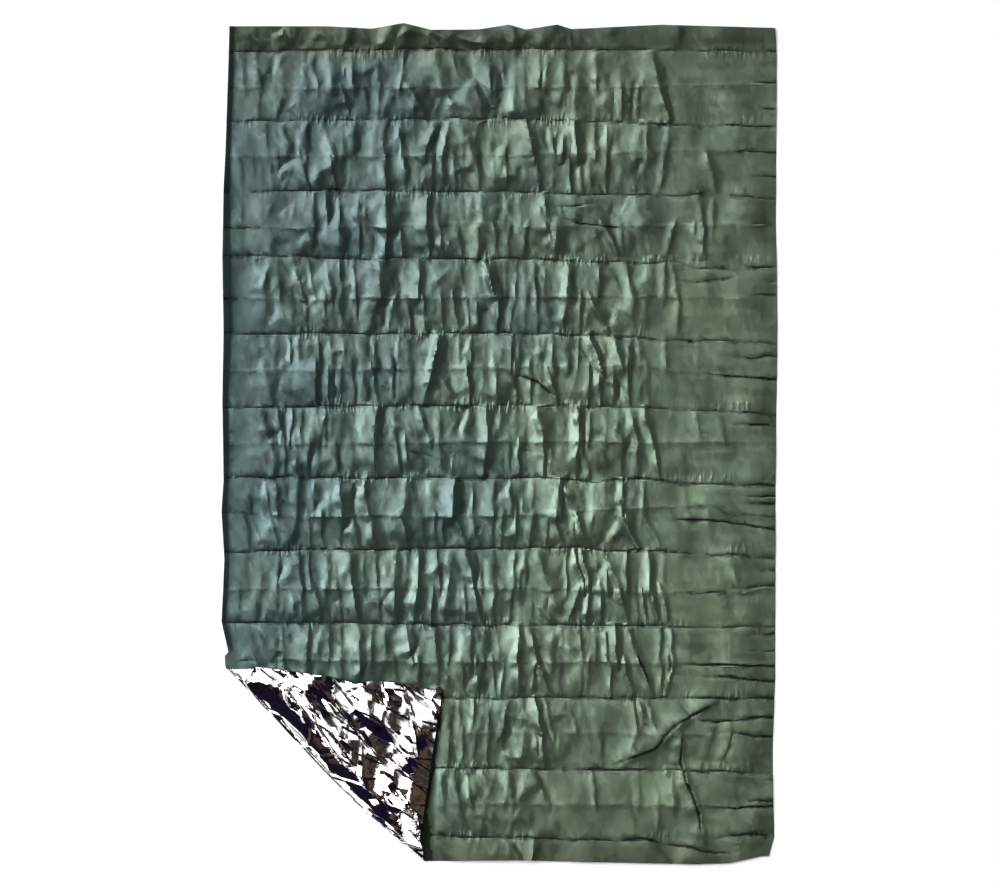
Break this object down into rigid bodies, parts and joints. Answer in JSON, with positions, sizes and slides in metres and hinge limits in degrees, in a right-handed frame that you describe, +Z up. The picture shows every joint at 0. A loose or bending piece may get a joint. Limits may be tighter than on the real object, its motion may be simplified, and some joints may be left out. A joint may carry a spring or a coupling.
{
  "type": "emergency foil blanket",
  "caption": "Thin coated film blanket laid out flat, green side up, with packet creases and short pleats; a lower corner is turned over to its silver side.",
  "frame": {"origin": "middle of the footprint, on the surface that the sheet lies on", "axes": "+Y along the long sides, towards the end away from the turned-over corner; +X across the sheet, away from that corner; +Z up"},
  "size_m": [1.3902, 2.1019, 0.0274],
  "materials": {
    "coated_film": "satin olive green coat on the upper side; bright aluminised silver on the other side, seen where the corner is turned over"
  },
  "bodies": {
    "root": {"foil_sheet": "coated_film"}
  },
  "joints": []
}
